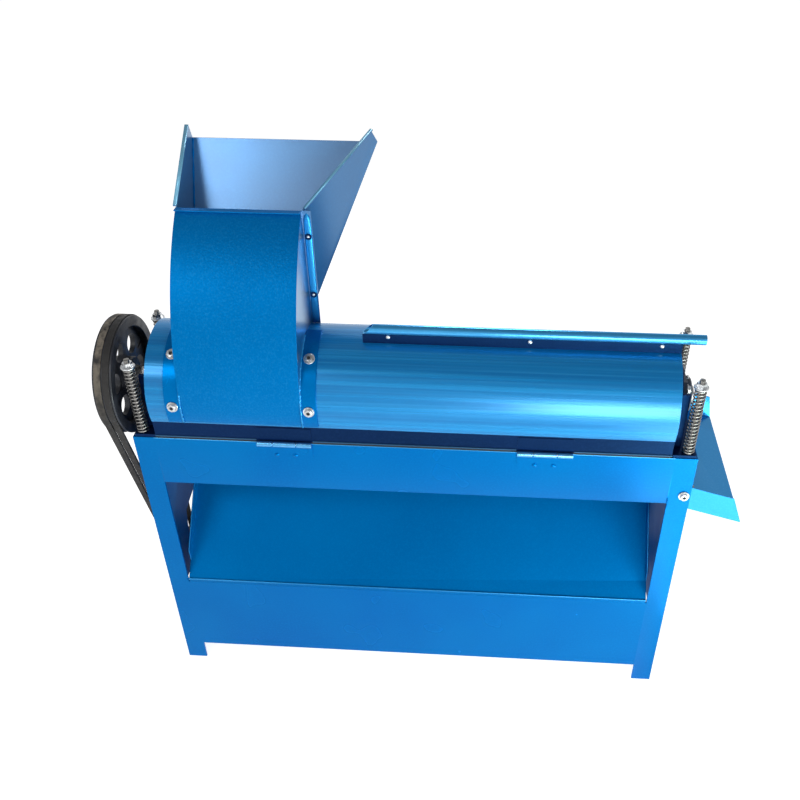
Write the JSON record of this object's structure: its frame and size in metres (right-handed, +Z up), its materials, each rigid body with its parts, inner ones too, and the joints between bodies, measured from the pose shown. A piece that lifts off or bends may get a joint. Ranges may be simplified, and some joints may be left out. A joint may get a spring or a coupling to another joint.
{
  "type": "nut shelling machine",
  "caption": "Floor-standing drum nut sheller with feed hopper, hinged drum cover, sprung bearing carriers, belt drive, kernel tray and shell chute.",
  "frame": {"origin": "on the floor under the middle of the machine's overall box", "axes": "+X along the drum from the pulley end to the discharge chute, +Y from the operator's front to the back, +Z up"},
  "size_m": [1.18, 0.3542, 1.107],
  "materials": {
    "blue_paint": "gloss bright blue enamel over sheet steel",
    "drum_blue": "glossy blue enamel with fine lengthwise streaks",
    "dark_blue_paint": "dark navy enamel",
    "zinc": "bright zinc plate",
    "black_paint": "satin black enamel on cast iron",
    "bright_steel": "turned bright steel",
    "cast_iron": "painted cast iron",
    "raw_steel": "mill steel, worn bright by the nuts",
    "spring_steel": "blackened spring wire",
    "belt_rubber": "fabric-covered V-belt, dusty at the back",
    "seal_rubber": "matt black strip",
    "motor_paint": "semi-gloss blue-grey enamel"
  },
  "bodies": {
    "frame": {"carrier_springs": "spring_steel", "carrier_studs": "zinc", "chute_bolts": "zinc", "concave_ribs": "raw_steel", "concave_rods": "raw_steel", "concave_side_bars": "raw_steel", "discharge_chute": "blue_paint", "drive_belts": "belt_rubber", "end_rails": "blue_paint", "front_beam": "blue_paint", "front_skirt": "blue_paint", "hinge_frame_leaves": "blue_paint", "hinge_pins": "zinc", "hinge_screws": "zinc", "inner_chute": "blue_paint", "kernel_tray": "blue_paint", "left_side_panel": "blue_paint", "leg_front_left": "blue_paint", "leg_front_right": "blue_paint", "leg_rear_left": "blue_paint", "leg_rear_right": "blue_paint", "mid_rail": "blue_paint", "motor_base_plate": "blue_paint", "motor_bolts": "zinc", "motor_fan_cover": "motor_paint", "motor_housing": "motor_paint", "motor_rails": "blue_paint", "motor_terminal_box": "motor_paint", "rear_beam": "blue_paint", "rear_deck": "blue_paint", "rear_skirt": "blue_paint", "right_side_panel": "blue_paint", "seal_strips": "seal_rubber", "spring_washers": "zinc", "stud_nuts": "zinc"},
    "carriers": {"bearing_carrier_left": "dark_blue_paint", "bearing_carrier_right": "dark_blue_paint", "bearing_units": "cast_iron", "bearing_bolts": "zinc"},
    "rotor": {"rotor_shaft": "bright_steel", "rotor_drum": "raw_steel", "rotor_beater_ribs": "raw_steel", "rotor_pulley": "black_paint"},
    "motor_rotor": {"motor_shaft": "bright_steel", "motor_pulley": "black_paint"},
    "cover": {"drum_cover": "drum_blue", "cover_end_walls": "drum_blue", "cover_flanges": "dark_blue_paint", "collar_straps": "blue_paint", "collar_bolts": "zinc", "neck_front_panel": "blue_paint", "neck_right_wall": "blue_paint", "neck_rear_wall": "blue_paint", "hopper_left_wall": "blue_paint", "hopper_back_panel": "blue_paint", "hopper_right_wall": "blue_paint", "cover_rail_strip": "dark_blue_paint", "cover_rail_tube": "blue_paint", "cover_screws": "zinc", "hinge_cover_leaves": "blue_paint"}
  },
  "joints": [
    {"name": "rotor_float", "type": "slide", "parent": "frame", "child": "carriers", "axis": [0, 0, 1], "range_m": [0, 0.008], "stiffness_N_per_m": 60000, "springref_m": -0.02, "deforming": ["carrier_springs", "drive_belts"]},
    {"name": "rotor_spin", "type": "hinge", "parent": "carriers", "child": "rotor", "pos_m": [-0.042, -0.05992, 0.696], "axis": [1, 0, 0], "continuous": true},
    {"name": "motor_spin", "type": "hinge", "parent": "frame", "child": "motor_rotor", "pos_m": [-0.542, 0.01708, 0.185], "axis": [1, 0, 0], "continuous": true},
    {"name": "cover_hinge", "type": "hinge", "parent": "frame", "child": "cover", "pos_m": [-0.042, -0.16442, 0.6245], "axis": [1, 0, 0], "range_deg": [0, 85]}
  ],
  "couplings": [
    {"joint": "motor_spin", "follows": "rotor_spin", "ratio": 2.9444}
  ]
}
